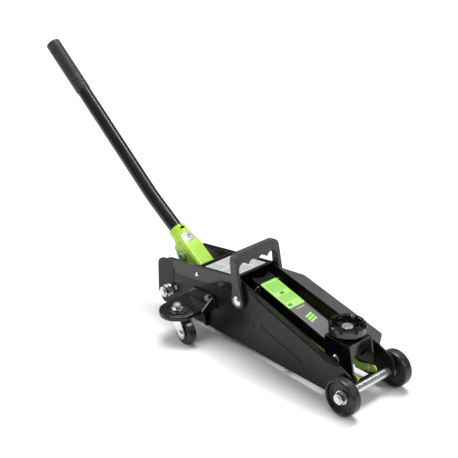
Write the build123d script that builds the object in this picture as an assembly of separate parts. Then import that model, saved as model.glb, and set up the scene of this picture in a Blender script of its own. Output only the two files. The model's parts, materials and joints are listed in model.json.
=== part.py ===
"""Hydraulic trolley jack: low frame on four wheels, lift arm, saddle and pump handle.

Millimetres, +Z up, ground at Z = 0, +X towards the front axle.  Heights and lengths below are
given from the front axle and are moved by ORIGIN_X when the parts are written out, so that the
row origin lies under the middle of the bounding box.
"""
from build123d import *
from math import atan2, cos, degrees, hypot, radians, sin
import os

ORIGIN_X = 376.15

# Frame side plates
PLATE_Y = 40.0           # outer face at the rear
PLATE_FRONT_Y = 47.2     # outer face at the front end
PLATE_BEND_X = -245.0    # where the plates start to spread
PLATE_T = 3.0
PLATE_FRONT_X = 10.0
PLATE_REAR_X = -445.0
FLANGE_START = (-237.0, 38.7, 122.0)
FLANGE_END = (-20.4, 45.1, 67.2)
FLANGE_WIDTH = 17.0
FLANGE_TILT = 25.0

# Rear cover
COVER_FRONT = (-246.8, 125.7)
COVER_REAR_X = -418.0
COVER_SLOPE = 0.166
COVER_T = 1.6
COVER_Y = 41.8
WELL_X = -341.0
WELL_Y = 33.0

# Front axle and wheels
AXLE_Z = 30.0
AXLE_R = 7.4
JOURNAL_R = 6.0
WHEEL_R = 30.0
WHEEL_IN_Y = 49.8
WHEEL_OUT_Y = 67.3

# Lift arm, link bars and saddle bracket
ARM_PIVOT = (-240.0, 89.0)
ARM_TIP = (-46.0, 60.0)
LINK_OFFSET = (27.0, -22.0)
ARM_Y = 19.0
ARM_REAR_X = -236.0
ARM_T = 2.5
SHAFT_R = 8.0
TIP_PIN_R = 5.0
LUG_PIN = (-264.0, 47.4)
LUG_ROLLER_R = 9.0
LINK_Y = (19.3, 21.8)
LINK_WIDTH = 11.6
LEG_Y = (22.1, 25.1)
BRACKET_X = (-71.0, -21.0)
BRACKET_TOP = 92.5

# Saddle
SADDLE_X = -48.0
SADDLE_R = 29.5
SADDLE_TOP = 112.5
SADDLE_FLOOR = 100.0

# Power unit
RAM_Z = 45.0
RAM_R = 9.0
RAM_HEAD_X = -273.8
BLOCK_X = (-405.0, -352.0)
BLOCK_Y = 28.0
BLOCK_Z = (14.0, 58.0)
FILLER_X = -330.0
BLOCK_PLUG = (-385.0, 20.8)
PLUNGER_X = -371.0
PLUNGER_TOP = 87.4
PLUNGER_R = 5.0

# Handle socket and handle
SOCKET_PIVOT = (-405.0, 97.0)
SOCKET_COLLAR = (-441.0, 131.0)
SOCKET_ANGLE = 33.0
CHEEK_Y = (14.2, 18.0)
COLLAR_R = 15.4
BAR_R = 12.0
BAR_BEND = (-505.0, 172.6)
BAR_END = (-776.0, 385.0)
GRIP_R = 13.0
GRIP_LEN = 111.0

# Carry handle
CARRY_LEAN = 8.0
CARRY_IN_Y = 42.6
CARRY_OUT_Y = 48.2
CARRY_HEIGHT = 81.0

# Casters
CASTER = (-337.0, -91.0)
CASTER_PLATE_Z = 52.0
CASTER_PLATE_T = 3.0
CASTER_R = 20.0
CASTER_TRAIL = 25.0
CASTER_YAW = -5.0

# Tie rod through the back of the frame
TIE_ROD = (-413.5, 40.0)
TIE_R = 6.0

RUN = 0.05               # radial running clearance


# ---------------------------------------------------------------- helpers
def block(x, y, z):
    """Box between two limits on each axis."""
    size = Box(x[1] - x[0], y[1] - y[0], z[1] - z[0])
    return Pos((x[0] + x[1]) / 2, (y[0] + y[1]) / 2, (z[0] + z[1]) / 2) * size


def rod_x(x, y, z, r):
    return Pos((x[0] + x[1]) / 2, y, z) * Rot(0, 90, 0) * Cylinder(r, x[1] - x[0])


def rod_y(x, y, z, r):
    return Pos(x, (y[0] + y[1]) / 2, z) * Rot(90, 0, 0) * Cylinder(r, y[1] - y[0])


def rod_z(x, y, z, r):
    return Pos(x, y, (z[0] + z[1]) / 2) * Cylinder(r, z[1] - z[0])


def outline(points):
    """Flat closed outline; a third number on a point rounds that corner."""
    face = make_face(Polyline(*[(p[0], p[1]) for p in points], close=True))
    for p in points:
        if len(p) == 3:
            corner = face.vertices().sort_by_distance((p[0], p[1], 0))[0]
            face = fillet([corner], p[2])
    return face


def side_sheet(points, y):
    """Outline given in X and Z, as thick as the two Y limits."""
    return Pos(0, y[1], 0) * extrude(Plane.XZ * outline(points), y[1] - y[0])


def plan_sheet(points, z):
    """Outline given in X and Y, as thick as the two Z limits."""
    return Pos(0, 0, z[0]) * extrude(outline(points), z[1] - z[0])


def revolved_y(profile, x, z):
    """Profile of (radius, y) points turned about a line along Y."""
    turned = revolve(Plane.XY * make_face(Polyline(*profile, close=True)), Axis.Y)
    return Pos(x, 0, z) * turned


def revolved_z(profile, x, y):
    """Profile of (radius, z) points turned about a vertical line."""
    turned = revolve(Plane.XZ * make_face(Polyline(*profile, close=True)), Axis.Z)
    return Pos(x, y, 0) * turned


def hex_y(x, y, z, across, bore=0.0):
    """Hexagon along Y, with chamfered ends and an optional bore."""
    nut = extrude(RegularPolygon(across / 2, 6, major_radius=False), y[1] - y[0])
    nut = nut & Cone(across * 0.62 + (y[1] - y[0]), across * 0.50, y[1] - y[0],
                     align=(Align.CENTER, Align.CENTER, Align.MIN))
    if bore:
        nut = nut - Cylinder(bore, 4 * (y[1] - y[0]))
    return Pos(x, y[0], z) * Rot(-90, 0, 0) * nut


def hex_z(x, y, z, across, bore=0.0):
    nut = extrude(RegularPolygon(across / 2, 6, major_radius=False), z[1] - z[0])
    nut = nut & Cone(across * 0.62 + (z[1] - z[0]), across * 0.50, z[1] - z[0],
                     align=(Align.CENTER, Align.CENTER, Align.MIN))
    if bore:
        nut = nut - Cylinder(bore, 4 * (z[1] - z[0]))
    return Pos(x, y, z[0]) * nut


def ring_y(x, y, z, r, bore):
    return rod_y(x, y, z, r) - rod_y(x, (y[0] - 1, y[1] + 1), z, bore)


def ring_z(x, y, z, r, bore):
    return rod_z(x, y, z, r) - rod_z(x, y, (z[0] - 1, z[1] + 1), bore)


def other_side(part):
    return mirror(part, about=Plane.XZ)


def both_sides(part):
    return Compound([part, other_side(part)])


def spring_z(x, y, z, r, wire, turns):
    """Coil spring standing on Z."""
    path = Helix((z[1] - z[0] - 2 * wire) / turns, z[1] - z[0] - 2 * wire, r)
    start = Plane(origin=path @ 0, z_dir=path % 0)
    return Pos(x, y, z[0] + wire) * sweep(start * Circle(wire), path)


def bar_outline(start, end, width):
    """Round-ended flat strip between two points."""
    run = hypot(end[0] - start[0], end[1] - start[1])
    turn = degrees(atan2(end[1] - start[1], end[0] - start[0]))
    mid = ((start[0] + end[0]) / 2, (start[1] + end[1]) / 2)
    return Pos(*mid) * Rot(0, 0, turn) * SlotCenterToCenter(run, width)


def cover_top(x):
    return COVER_FRONT[1] + (x - COVER_FRONT[0]) * COVER_SLOPE


# ---------------------------------------------------------------- frame
def side_plate():
    """Left plate: flat pressing that spreads towards the front, with a flared top flange."""
    spread = [(PLATE_REAR_X - 10, PLATE_Y), (PLATE_BEND_X, PLATE_Y),
              (PLATE_FRONT_X + 5, PLATE_FRONT_Y), (PLATE_FRONT_X + 5, PLATE_FRONT_Y - PLATE_T),
              (PLATE_BEND_X, PLATE_Y - PLATE_T), (PLATE_REAR_X - 10, PLATE_Y - PLATE_T)]
    profile = [(PLATE_REAR_X, 90.6, 16), (PLATE_BEND_X, cover_top(PLATE_BEND_X) - 2),
               (FLANGE_START[0], FLANGE_START[2]), (FLANGE_END[0], FLANGE_END[2]),
               (4, 57.4, 8), (PLATE_FRONT_X, 50, 4), (PLATE_FRONT_X, 19, 7), (-6, 14, 8),
               (-60, 12.5), (-150, 10), (-412, 8, 12), (-433, 9.5, 8), (PLATE_REAR_X, 27, 8)]
    plate = side_sheet(profile, (30, 60)) & plan_sheet(spread, (-5, 160))
    plate = plate + top_flange() + bottom_lip()
    plate = plate - pressed_groove((-186, 64), (-98, 42), 4.5)
    plate = plate - pressed_groove((-207, 57), (-206.5, 57), 3.0)
    plate = plate - rear_panel_step()
    holes = [(ARM_PIVOT, SHAFT_R), ((0, AXLE_Z), AXLE_R), (TIE_ROD, TIE_R), (link_pivot(), 5.0)]
    for (x, z), r in holes:
        plate = plate - rod_y(x, (25, 70), z, r + RUN)
    for x, z in SIDE_BOLTS:
        plate = plate - rod_y(x, (25, 70), z, 3.1)
    return plate


SIDE_BOLTS = [(-397.0, 50.0), (-362.0, 30.0)]


def link_pivot():
    return (ARM_PIVOT[0] + LINK_OFFSET[0], ARM_PIVOT[1] + LINK_OFFSET[1])


def bracket_pivot():
    return (ARM_TIP[0] + LINK_OFFSET[0], ARM_TIP[1] + LINK_OFFSET[1])


def top_flange():
    """Sheet bent outwards along the sloping top edge, with a bend bead."""
    start = Vector(*FLANGE_START)
    along = Vector(*FLANGE_END) - start
    length = along.length
    out = Vector(0, cos(radians(FLANGE_TILT)), sin(radians(FLANGE_TILT)))
    plane = Plane(origin=start, x_dir=along, z_dir=along.cross(out))
    shape = [(0, 0), (46, FLANGE_WIDTH, 14), (length - 10, FLANGE_WIDTH, 5), (length, 0)]
    sheet = extrude(plane * outline(shape), PLATE_T / 2, both=True)
    bead = Plane(origin=start, z_dir=along) * Cylinder(
        PLATE_T / 2, length, align=(Align.CENTER, Align.CENTER, Align.MIN))
    return sheet + bead


def bottom_lip():
    """Narrow lip turned inwards along the bottom edge near the front axle."""
    lip = [(-60, 36.0), (-2, 36.0), (-2, 46), (-60, 44)]
    return plan_sheet(lip, (13.5, 16.2))


def pressed_groove(start, end, half_width):
    """Shallow pressed channel on the outer face."""
    cutter = extrude(Plane.XZ * bar_outline(start, end, 2 * half_width), -80)
    skin = [(PLATE_REAR_X, PLATE_Y - 0.7), (PLATE_BEND_X, PLATE_Y - 0.7),
            (PLATE_FRONT_X + 5, PLATE_FRONT_Y - 0.7), (PLATE_FRONT_X + 5, 70),
            (PLATE_REAR_X, 70)]
    return cutter & plan_sheet(skin, (-5, 160))


def rear_panel_step():
    """Pressed line that curves round the caster mounting area."""
    band = [(-405, 84), (-401, 84), (-401, 58), (-396, 51), (-384, 47), (-384, 43), (-399, 47.5), (-405, 55)]
    return side_sheet(band, (PLATE_Y - 0.6, PLATE_Y + 5))


def rear_cover():
    """Folded top cover with a well for the handle socket and raised edges."""
    x0, x1 = COVER_REAR_X, COVER_FRONT[0]
    top = [(x0, cover_top(x0)), (x1, COVER_FRONT[1]), (x1, COVER_FRONT[1] - COVER_T),
           (x0, cover_top(x0) - COVER_T)]
    skin = side_sheet(top, (-COVER_Y, COVER_Y))
    bead = [(x0, cover_top(x0) + 1.2), (x1, COVER_FRONT[1] + 1.2), (x1, COVER_FRONT[1] - 1),
            (x0, cover_top(x0) - 1)]
    rail = side_sheet(bead, (COVER_Y - 4.5, COVER_Y))
    skin = skin + rail + other_side(rail)
    for x in (x1 - 4.0, WELL_X):
        lip = [(x, cover_top(x) + 1.2), (x + 4, cover_top(x + 4) + 1.2), (x + 4, cover_top(x) - 1),
               (x, cover_top(x) - 1)]
        skin = skin + side_sheet(lip, (-COVER_Y, COVER_Y))
    well = block((x0 - 5, WELL_X), (-WELL_Y, WELL_Y), (60, 160))
    turned = [(WELL_X, cover_top(WELL_X) - 0.5), (WELL_X + 1.6, cover_top(WELL_X) - 0.5),
              (WELL_X + 1.6, cover_top(WELL_X) - 9), (WELL_X, cover_top(WELL_X) - 9)]
    skin = (skin - well) + side_sheet(turned, (-WELL_Y, WELL_Y))
    flap = [(x0 + 14, cover_top(x0 + 14) - 1), (x1, COVER_FRONT[1] - 1),
            (x1, COVER_FRONT[1] - 24, 6), (x0 + 26, cover_top(x0 + 26) - 24, 6),
            (x0 + 14, cover_top(x0 + 14) - 12, 6)]
    side = side_sheet(flap, (PLATE_Y + 0.2, COVER_Y))
    for x, drop, r in COVER_HOLES:
        side = side - rod_y(x, (30, 50), cover_top(x) - drop, r)
    side = side - block((-347.5, -345.5), (38, 50), (cover_top(-346) - 18, cover_top(-346) - 10))
    side = side - rod_y(ARM_PIVOT[0], (30, 50), ARM_PIVOT[1], 16)
    return skin + side + other_side(side)


COVER_SCREW_X = -341.5
COVER_HOLES = [(COVER_SCREW_X, 14.0, 2.6), (-398.0, 12.0, 1.2), (-285.0, 12.0, 1.2)]


def cover_screws():
    z = cover_top(COVER_SCREW_X) - 14
    head = revolved_y([(0, 41.9), (4.2, 41.9), (4.2, 42.7), (2.6, 44.2), (0, 44.6)],
                      COVER_SCREW_X, z)
    shank = rod_y(COVER_SCREW_X, (40.3, 42.2), z, 2.4)
    slot = block((COVER_SCREW_X - 3, COVER_SCREW_X + 3), (43.9, 45), (z - 0.4, z + 0.4))
    return both_sides(head + shank - slot)


def front_axle():
    bar = rod_y(0, (-WHEEL_IN_Y + 0.4, WHEEL_IN_Y - 0.4), AXLE_Z, AXLE_R)
    journal = rod_y(0, (-72, 72), AXLE_Z, JOURNAL_R)
    ends = (bar + journal).edges().filter_by(GeomType.CIRCLE).sort_by(Axis.Y)
    return chamfer([ends[0], ends[-1]], 0.8)


def cross_tubes():
    """Two spacer tubes welded between the side plates."""
    tubes = []
    for x, z in CROSS_TUBES:
        half = plate_inner_y(x) - 0.3
        tubes.append(ring_y(x, (-half, half), z, 6.5, 4.1))
    return Compound(tubes)


CROSS_TUBES = [(-140.0, 24.0), (-284.0, 18.0)]


def plate_inner_y(x):
    slope = (PLATE_FRONT_Y - PLATE_Y) / (PLATE_FRONT_X + 5 - PLATE_BEND_X)
    return PLATE_Y - PLATE_T + max(0.0, x - PLATE_BEND_X) * slope


def dome_y(x, y, z, r, height):
    """Low round head standing on a face at +y."""
    return revolved_y([(0, y), (r, y), (r, y + height * 0.35), (r * 0.72, y + height * 0.86),
                       (r * 0.3, y + height), (0, y + height)], x, z)


def rear_tie_rod():
    x, z = TIE_ROD
    rod = rod_y(x, (-59, 59), z, TIE_R)
    return chamfer(rod.edges().filter_by(GeomType.CIRCLE), 0.9)


def tie_rod_nuts():
    """Two nuts and two washers on each end of the tie rod."""
    x, z = TIE_ROD
    side = [hex_y(x, (42.2, 46.8), z, 15.5, TIE_R + RUN), hex_y(x, (49.2, 56.4), z, 17.0, TIE_R + RUN),
            ring_y(x, (40.3, 42.0), z, 10.0, TIE_R + 0.3), ring_y(x, (47.0, 49.0), z, 10.5, TIE_R + 0.3)]
    return Compound(side + [other_side(piece) for piece in side])


# ---------------------------------------------------------------- front wheels
def front_wheel():
    """Left wheel: rounded tread, dished outer web and a bored hub."""
    y0, y1 = WHEEL_IN_Y, WHEEL_OUT_Y
    r, bore = WHEEL_R, JOURNAL_R + RUN
    profile = [(bore, y0), (13, y0), (13, y0 + 2.5), (24.5, y0 + 2.5), (25.5, y0 + 0.8),
               (28, y0), (r - 0.7, y0 + 1.3), (r, y0 + 3.5), (r, y1 - 4), (r - 0.8, y1 - 1.4),
               (r - 2.4, y1 - 0.2), (26.4, y1), (25.2, y1 - 1.6), (24.4, y1 - 6.2),
               (22, y1 - 7.4), (12.8, y1 - 7.4), (11.8, y1 - 6.4), (bore, y1 - 6.4)]
    return revolved_y(profile, 0, AXLE_Z)


def wheel_nuts():
    """A nut and two washers at each end of the front axle."""
    side = [hex_y(0, (62.7, 70.2), AXLE_Z, 16.5, JOURNAL_R + RUN),
            ring_y(0, (47.6, 49.4), AXLE_Z, 11.5, AXLE_R + 0.3),
            ring_y(0, (61.2, 62.4), AXLE_Z, 11.2, JOURNAL_R + 0.3)]
    return Compound(side + [other_side(piece) for piece in side])


# ---------------------------------------------------------------- casters
def caster_plate():
    """Right outrigger: rolled edge, upright flange on the frame and a brace below."""
    cx, cy = CASTER
    z = CASTER_PLATE_Z
    inner_y = -PLATE_Y - 0.3
    wing = plan_sheet([(-369, inner_y), (cx - 30, cy), (cx + 30, cy), (-303, inner_y)], (z - 7, z))
    wing = wing + rod_z(cx, cy, (z - 7, z), 30)
    wing = fillet(wing.faces().sort_by(Axis.Z)[-1].outer_wire().edges(), 2.2)
    pocket = plan_sheet([(-365, inner_y + 2), (cx - 27, cy), (cx + 27, cy), (-307, inner_y + 2)],
                        (z - 9, z - CASTER_PLATE_T))
    wing = wing - pocket - rod_z(cx, cy, (z - 9, z - CASTER_PLATE_T), 27)
    upright = side_sheet([(-369, z - 3), (-352, 69, 6), (-298, 73, 6), (-297, z - 3)],
                         (inner_y - 3, inner_y))
    gusset = Plane.YZ * make_face(Polyline((inner_y - 2, 68), (inner_y - 2, z - 2),
                                           (inner_y - 26, z - 2), close=True))
    gusset = Pos(-306, 0, 0) * extrude(gusset, 2.6)
    ring = ring_z(cx, cy, (z - 1, z + 1.2), 19.5, 16.5)
    brace = Plane.YZ * make_face(Polyline((inner_y, z - 3), (inner_y, 9), (inner_y - 4, 9),
                                          (inner_y - 12, z - 3), close=True))
    brace = Pos(-322, 0, 0) * extrude(brace, 4.5)
    part = wing + upright + gusset + ring + brace
    part = part - rod_z(cx, cy, (z - 12, z + 5), 6 + RUN)
    for bx, bz in CASTER_BOLTS:
        part = part - rod_y(bx, (-60, -30), bz, 4.2)
    return part


CASTER_BOLTS = [(-314.0, 64.0)]


def caster_bolts():
    """Bolts that hold one outrigger to its side plate."""
    bolts = []
    for x, z in CASTER_BOLTS:
        bolts.append(other_side(hex_y(x, (43.5, 47.2), z, 9.6)) + rod_y(x, (-43.6, -40.3), z, 4.0))
    return Compound(bolts + [other_side(b) for b in bolts])


def caster_kingpin():
    cx, cy = CASTER
    pin = rod_z(cx, cy, (45.6, 52.0), 6.0) + rod_z(cx, cy, (44.2, 45.6), 9.0)
    return pin + chamfer(rod_z(cx, cy, (51.5, 62.6), 4.2).edges().filter_by(GeomType.CIRCLE), 0.7)


def caster_nuts():
    """Nut and washer on top of each kingpin."""
    cx, cy = CASTER
    side = [hex_z(cx, cy, (54.2, 60.2), 12.6, 4.2 + RUN), ring_z(cx, cy, (52.3, 54.0), 9.4, 4.5)]
    return Compound(side + [other_side(piece) for piece in side])


def swivelled(part):
    """Place a caster part drawn about its own swivel axis, trailing along +X."""
    return Pos(CASTER[0], CASTER[1], 0) * Rot(0, 0, CASTER_YAW) * part


def caster_fork():
    """Pressed fork: round crown on the kingpin, and two legs that sweep back to the axle."""
    crown = rod_z(0, 0, (45.8, 48.7), 16.0) + rod_z(0, 0, (42.6, 45.8), 13.0)
    crown = crown + block((-4, 21), (-11.5, 11.5), (43.0, 45.8))
    legs = side_sheet([(-11, 45.8, 3), (21, 45.8, 2), (34.6, 22, 2), (CASTER_TRAIL + 6, 11.6, 5),
                       (CASTER_TRAIL - 6, 11.2, 5), (CASTER_TRAIL - 11, 22, 5)], (9.3, 11.5))
    fork = crown + legs + other_side(legs)
    fork = fork - rod_z(0, 0, (40, 50), 6 + RUN) - rod_z(0, 0, (40, 45.7), 9.4)
    fork = fork - rod_y(CASTER_TRAIL, (-20, 20), CASTER_R, 4.05)
    return swivelled(fork)


def caster_rivet():
    pin = rod_y(CASTER_TRAIL, (-12, 12), CASTER_R, 4.0)
    head = dome_y(CASTER_TRAIL, 11.6, CASTER_R, 6.4, 2.6)
    return swivelled(pin + head + other_side(head))


def caster_wheel():
    r = CASTER_R
    profile = [(4.06, -8.6), (7, -8.6), (7.6, -7.6), (15.5, -7.0), (17.5, -7.6), (r - 1.5, -7.2),
               (r, -5.2), (r, 5.2), (r - 1.5, 7.2), (17.5, 7.6), (15.5, 7.0), (7.6, 7.6),
               (7, 8.6), (4.06, 8.6)]
    return swivelled(revolved_y(profile, CASTER_TRAIL, r))


# ---------------------------------------------------------------- lift arm group
def arm_top(x):
    return 117.5 - 0.263 * (x + 222)


def lift_arm():
    """Inverted channel with a round nose and two lugs below the main pivot."""
    flank = [(ARM_REAR_X, arm_top(ARM_REAR_X), 2), (-48, arm_top(-48)), (-40, 66), (-40, 54), (-50, 46.6),
             (-120, 52, 40), (-196, 62, 40), (-222, 62), (-236, 68), (-262, 80), (-256, 101, 12)]
    lug = [(-258, 92), (-274, 46), (-262, 38), (-254.5, 44), (-226, 74)]
    side = side_sheet(flank, (ARM_Y - ARM_T, ARM_Y)) + side_sheet(lug, (ARM_Y - ARM_T, ARM_Y))
    side = side + rod_y(ARM_TIP[0], (ARM_Y - ARM_T, ARM_Y), ARM_TIP[1], 13.4)
    side = side + rod_y(LUG_PIN[0], (ARM_Y - ARM_T, ARM_Y), LUG_PIN[1], 10.2)
    side = side + rod_y(ARM_PIVOT[0], (ARM_Y - ARM_T, ARM_Y), ARM_PIVOT[1], 20.0)
    web = side_sheet([(ARM_REAR_X, arm_top(ARM_REAR_X)), (-52, arm_top(-52)), (-52, arm_top(-52) - ARM_T),
                      (ARM_REAR_X, arm_top(ARM_REAR_X) - ARM_T)], (-ARM_Y + 1, ARM_Y - 1))
    web = web - rod_z(ARM_REAR_X - 14, 0, (90, 140), 20)
    stiffener = side_sheet([(-182, 66), (-120, 55), (-120, 52.5), (-182, 63.5)],
                           (-ARM_Y + ARM_T, ARM_Y - ARM_T))
    arm = side + other_side(side) + web + stiffener
    arm = arm & block((-300, 0), (-ARM_Y, ARM_Y), (30, arm_top(ARM_REAR_X) + 5))
    for (x, z), r in ((ARM_PIVOT, SHAFT_R), (ARM_TIP, TIP_PIN_R), (LUG_PIN, 5.0)):
        arm = arm - rod_y(x, (-30, 30), z, r + RUN)
    return arm


def arm_pivot_tube():
    x, z = ARM_PIVOT
    return ring_y(x, (-ARM_Y + ARM_T, ARM_Y - ARM_T), z, 12.5, SHAFT_R + RUN)


def arm_shaft():
    """Main pivot shaft, drilled at both ends for the carry handle bolts."""
    x, z = ARM_PIVOT
    shaft = rod_y(x, (-PLATE_Y, PLATE_Y), z, SHAFT_R)
    drill = rod_y(x, (26, 50), z, 3.1)
    return shaft - drill - other_side(drill)


def shaft_collars():
    """Washers and retaining rings either side of the arm on the main shaft."""
    x, z = ARM_PIVOT
    washer = ring_y(x, (19.4, 20.8), z, 13.5, SHAFT_R + 0.2)
    clip = ring_y(x, (34.9, 36.5), z, 11.5, SHAFT_R + RUN)
    clip = clip - block((x + 4, x + 20), (34, 38), (z - 3.5, z + 3.5))
    return Compound([washer, clip, other_side(washer), other_side(clip)])


def arm_springs():
    """Coiled return springs on the shaft, with a leg hooked over the arm."""
    x, z = ARM_PIVOT
    path = Helix(3.4, 10.2, 10.6)
    coil = sweep(Plane(origin=path @ 0, z_dir=path % 0) * Circle(1.1), path)
    coil = Pos(x, 22.9, z) * Rot(-90, 0, 0) * coil
    leg = Polyline((x + 10.6, 22.9, z), (x + 13, 22.9, z + 12), (x + 22.5, 22.6, z + 25.5))
    leg = sweep(Plane(origin=leg @ 0, z_dir=leg % 0) * Circle(1.1), leg, transition=Transition.ROUND)
    return both_sides(coil + leg)


def lug_pin():
    x, z = LUG_PIN
    return rod_y(x, (-ARM_Y, ARM_Y), z, 5.0)


def lug_roller():
    x, z = LUG_PIN
    return ring_y(x, (-ARM_Y + ARM_T + 0.4, ARM_Y - ARM_T - 0.4), z, LUG_ROLLER_R, 5.0 + RUN)


def link_bar():
    """Left link bar: a flat bar bent to pass under the front pin."""
    rear, front = link_pivot(), bracket_pivot()
    line = [rear, (-196, 79.0), (-76, 54.6), (-62, 42.5), (-40, 33.5), front, (-9.5, 40.0)]
    bar = Sketch()
    for a, b in zip(line[:-1], line[1:]):
        bar = bar + bar_outline(a, b, LINK_WIDTH)
    bar = bar + Pos(*rear) * Circle(8.5) + Pos(*front) * Circle(6.8)
    bar = bar - Pos(*rear) * Circle(5.0 + RUN) - Pos(*front) * Circle(4.0 + RUN)
    return Pos(0, LINK_Y[1], 0) * extrude(Plane.XZ * bar, LINK_Y[1] - LINK_Y[0])


def link_studs():
    """Studs on the side plates that carry the rear ends of the link bars."""
    x, z = link_pivot()
    inner = plate_inner_y(x)
    stud = rod_y(x, (19.3, inner + PLATE_T - 0.2), z, 5.0)
    collar = ring_y(x, (22.2, 24.2), z, 8.0, 4.5)
    return both_sides(stud + collar)


def saddle_bracket():
    """Bracket under the saddle: top plate, two tapered legs, front skirt and foot bar."""
    x0, x1 = BRACKET_X
    top = BRACKET_TOP
    leg = [(x0, top), (x1, top), (-9.6, 42), (-8.4, 28, 2), (-19, 27.6, 3), (-31, 32, 8),
           (-58, 46, 10), (x0, 66, 8)]
    side = side_sheet(leg, LEG_Y)
    deck = block((x0, x1), (-LEG_Y[1], LEG_Y[1]), (top - 3.4, top))
    skirt = block((x1 - 3, x1), (-LEG_Y[1] + 1, LEG_Y[1] - 1), (72, top - 1))
    foot = block((-13.0, -8.8), (-LEG_Y[1] + 1, LEG_Y[1] - 1), (28.2, 32.2))
    bracket = side + other_side(side) + deck + skirt + foot
    edges = bracket.edges().filter_by(Axis.X).group_by(Axis.Z)[-1]
    bracket = fillet(edges, 2.2)
    for (x, z), r in ((ARM_TIP, TIP_PIN_R), (bracket_pivot(), 4.0)):
        bracket = bracket - rod_y(x, (-40, 40), z, r + RUN)
    return bracket - rod_z(SADDLE_X, 0, (80, 100), 6 + RUN)


def bracket_pin():
    """Pin through the arm nose and the bracket legs, headed on the right side."""
    x, z = ARM_TIP
    pin = rod_y(x, (-LEG_Y[1] - 0.5, 30), z, TIP_PIN_R)
    head = dome_y(x, LEG_Y[1] + 0.2, z, 7.8, 4.4)
    return pin + other_side(head)


def pin_clip():
    x, z = ARM_TIP
    clip = ring_y(x, (25.5, 27.1), z, 8.6, TIP_PIN_R + RUN)
    return clip - block((x - 2.6, x + 2.6), (24, 28), (z - 12, z - 4))


def bracket_studs():
    """Headed studs that join the link bars to the bracket legs."""
    x, z = bracket_pivot()
    stud = rod_y(x, (19.3, LEG_Y[1] + 0.6), z, 4.0)
    return both_sides(stud + dome_y(x, LEG_Y[1] + 0.2, z, 6.5, 3.0))


# ---------------------------------------------------------------- saddle
def saddle():
    """Round cup with a notched rim, a ribbed floor and a stem through the bracket."""
    profile = [(0, BRACKET_TOP + 0.3), (19, BRACKET_TOP + 0.3), (24.5, 97.5), (SADDLE_R - 1, 99.6),
               (SADDLE_R, 101.2), (SADDLE_R, SADDLE_TOP - 1.0), (SADDLE_R - 1, SADDLE_TOP),
               (SADDLE_R - 4.6, SADDLE_TOP), (SADDLE_R - 5.4, SADDLE_TOP - 0.8),
               (SADDLE_R - 6.6, SADDLE_FLOOR + 1), (SADDLE_R - 7.6, SADDLE_FLOOR), (0, SADDLE_FLOOR)]
    cup = revolved_z(profile, 0, 0)
    notch = block((12, 40), (-3.0, 3.0), (SADDLE_TOP - 5.2, SADDLE_TOP + 2))
    for i in range(8):
        cup = cup - Rot(0, 0, 22.5 + 45 * i) * notch
    rib = block((11.5, 23.5), (-1.6, 1.6), (SADDLE_FLOOR - 1, SADDLE_FLOOR + 3.2))
    for i in range(8):
        cup = cup + Rot(0, 0, 45 * i) * rib
    ring = ring_z(0, 0, (SADDLE_FLOOR - 1, SADDLE_FLOOR + 2.2), 13.0, 11.0)
    return Pos(SADDLE_X, 0, 0) * (cup + ring - rod_z(0, 0, (85, 110), 5.1))


def saddle_bolt():
    head = hex_z(SADDLE_X, 0, (SADDLE_FLOOR + 0.2, SADDLE_FLOOR + 7.2), 17.0)
    shank = rod_z(SADDLE_X, 0, (84.5, SADDLE_FLOOR + 1), 5.0)
    return head + shank


def saddle_nut():
    """Bush and nut under the bracket top."""
    bush = rod_z(SADDLE_X, 0, (88.2, BRACKET_TOP + 0.1), 6.0)
    nut = hex_z(SADDLE_X, 0, (81.0, 88.6), 14.0)
    return bush + nut - rod_z(SADDLE_X, 0, (75, 95), 5.0 + RUN)


# ---------------------------------------------------------------- power unit
def pump_block():
    """Cast body with the pump barrel, the socket lug and the bore for the ram."""
    body = block(BLOCK_X, (-BLOCK_Y, BLOCK_Y), BLOCK_Z)
    body = fillet(body.edges().filter_by(Axis.Z), 5)
    px, pz = SOCKET_PIVOT
    lug = side_sheet([(px - 9, pz), (-403, 55), (-380, 55), (px + 9, pz)], (-13.8, 13.8))
    lug = lug + rod_y(px, (-13.8, 13.8), pz, 9)
    barrel = rod_z(PLUNGER_X, 0, (BLOCK_Z[1] - 1, 61), 10.5)
    body = body + lug + barrel
    for x, z in SIDE_BOLTS:
        boss = rod_y(x, (BLOCK_Y - 4, PLATE_Y - PLATE_T - 0.1), z, 7.5)
        body = body + boss + other_side(boss)
    body = body - rod_x((-362, -340), 0, RAM_Z, 12.05)
    body = body - rod_z(PLUNGER_X, 0, (38, 70), PLUNGER_R + RUN)
    body = body - rod_y(px, (-30, 30), pz, 5.0 + RUN)
    for x, z in SIDE_BOLTS:
        body = body - rod_y(x, (-45, -22), z, 2.9) - rod_y(x, (22, 45), z, 2.9)
    body = body - rod_x((-420, -392), -15, 26, 5.0 + RUN)
    return body - rod_z(*BLOCK_PLUG, (50, 70), 4.1)


def side_bolts():
    """Bolts that hold the pump body between the side plates."""
    bolts = []
    for x, z in SIDE_BOLTS:
        bolt = rod_y(x, (24, 40.3), z, 2.8) + hex_y(x, (40.2, 43.0), z, 7.4)
        bolts += [bolt, other_side(bolt)]
    return Compound(bolts)


def cylinder_tube():
    tube = rod_x((BLOCK_X[1] + 0.1, -294), 0, RAM_Z, 18)
    return tube - rod_x((BLOCK_X[1] - 5, -290), 0, RAM_Z, 12.05)


def cylinder_gland():
    """Ring nut that closes the front of the cylinder."""
    nut = Pos(-293.9, 0, RAM_Z) * Rot(0, 90, 0) * extrude(RegularPolygon(17.5, 8), 7.0)
    return nut - rod_x((-300, -280), 0, RAM_Z, RAM_R + 0.06)


def tank():
    """Oil tank: outer shell round the cylinder."""
    shell = rod_x((BLOCK_X[1] + 0.1, -297), 0, RAM_Z, 25)
    shell = shell - rod_x((BLOCK_X[1] - 1, -299.5), 0, RAM_Z, 22.5)
    return shell - rod_x((-310, -290), 0, RAM_Z, 18.1) - rod_z(FILLER_X, 0, (60, 80), 4.1)


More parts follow.
